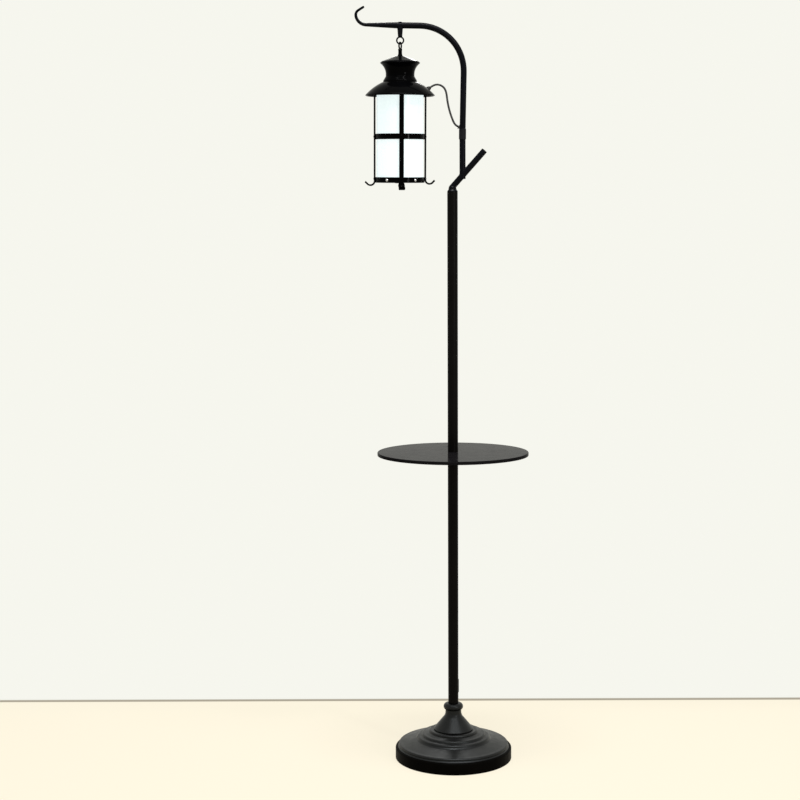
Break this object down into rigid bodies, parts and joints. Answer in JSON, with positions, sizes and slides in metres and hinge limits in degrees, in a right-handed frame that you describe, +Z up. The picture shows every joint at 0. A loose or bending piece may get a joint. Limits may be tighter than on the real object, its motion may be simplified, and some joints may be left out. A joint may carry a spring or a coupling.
{
  "type": "lantern floor lamp",
  "caption": "Floor lamp: a ridged round base, a slim pole through a small round table, and an arched hook arm that carries a hanging opal-glass lantern on linked eyes.",
  "frame": {"origin": "middle of the underside of the base's felt pad, on the axis of the pole", "axes": "+Z up along the pole; the arm and the lantern reach out along -X; +Y points to the back"},
  "size_m": [0.3413, 0.302, 1.5007],
  "materials": {
    "pewter_paint": "satin metallic lacquer, dark pewter",
    "pole_paint": "semi-gloss lacquer, brown black",
    "arm_paint": "satin metallic lacquer, dark gunmetal",
    "table_lacquer": "glossy lacquer, black",
    "lantern_black": "glossy enamel, black",
    "opal_glass": "frosted, opal white",
    "bulb_glass": "frosted, warm white",
    "zinc_steel": "zinc plated",
    "bulb_brass": "nickelled screw cap",
    "holder_plastic": "moulded, matt",
    "black_rubber": "matt",
    "cord_sheath": "smooth flexible sheath",
    "iron_weight": "as cast, black primer",
    "felt": "needled felt"
  },
  "bodies": {
    "stand": {"base_pad": "felt", "base_weight": "iron_weight", "base_cover": "pewter_paint", "base_washer": "zinc_steel", "base_nut": "zinc_steel", "base_stud": "zinc_steel", "collar": "pewter_paint", "lower_pole": "pole_paint", "lower_pole_foot": "zinc_steel", "lower_pole_head": "zinc_steel", "cable_outlet": "black_rubber", "table_hub": "zinc_steel", "table_top": "table_lacquer", "table_stud": "zinc_steel", "upper_pole": "pole_paint", "upper_pole_foot": "zinc_steel", "pole_cap": "pole_paint", "branch": "arm_paint", "arm_stub": "arm_paint", "arm_sleeve": "arm_paint", "arm_tube": "arm_paint", "arm_hook": "arm_paint", "hanger_eye": "arm_paint", "arm_grommet": "black_rubber", "head_cord": "cord_sheath"},
    "lantern": {"lantern_eye": "lantern_black", "cap": "lantern_black", "chimney": "lantern_black", "roof": "lantern_black", "roof_gland": "black_rubber", "frame_plate": "lantern_black", "frame_nut": "zinc_steel", "strip_front": "lantern_black", "strip_right": "lantern_black", "strip_back": "lantern_black", "strip_left": "lantern_black", "mid_band": "lantern_black", "bottom_band": "lantern_black", "rivets": "lantern_black", "glass": "opal_glass", "glass_screws": "zinc_steel", "lampholder": "holder_plastic", "bulb_cap": "bulb_brass", "bulb": "bulb_glass"}
  },
  "joints": [
    {"name": "lantern_swing", "type": "hinge", "parent": "stand", "child": "lantern", "pos_m": [-0.1014, 0, 1.4276], "axis": [1, 0, 0], "range_deg": [-20, 17], "deforming": ["head_cord"]}
  ]
}
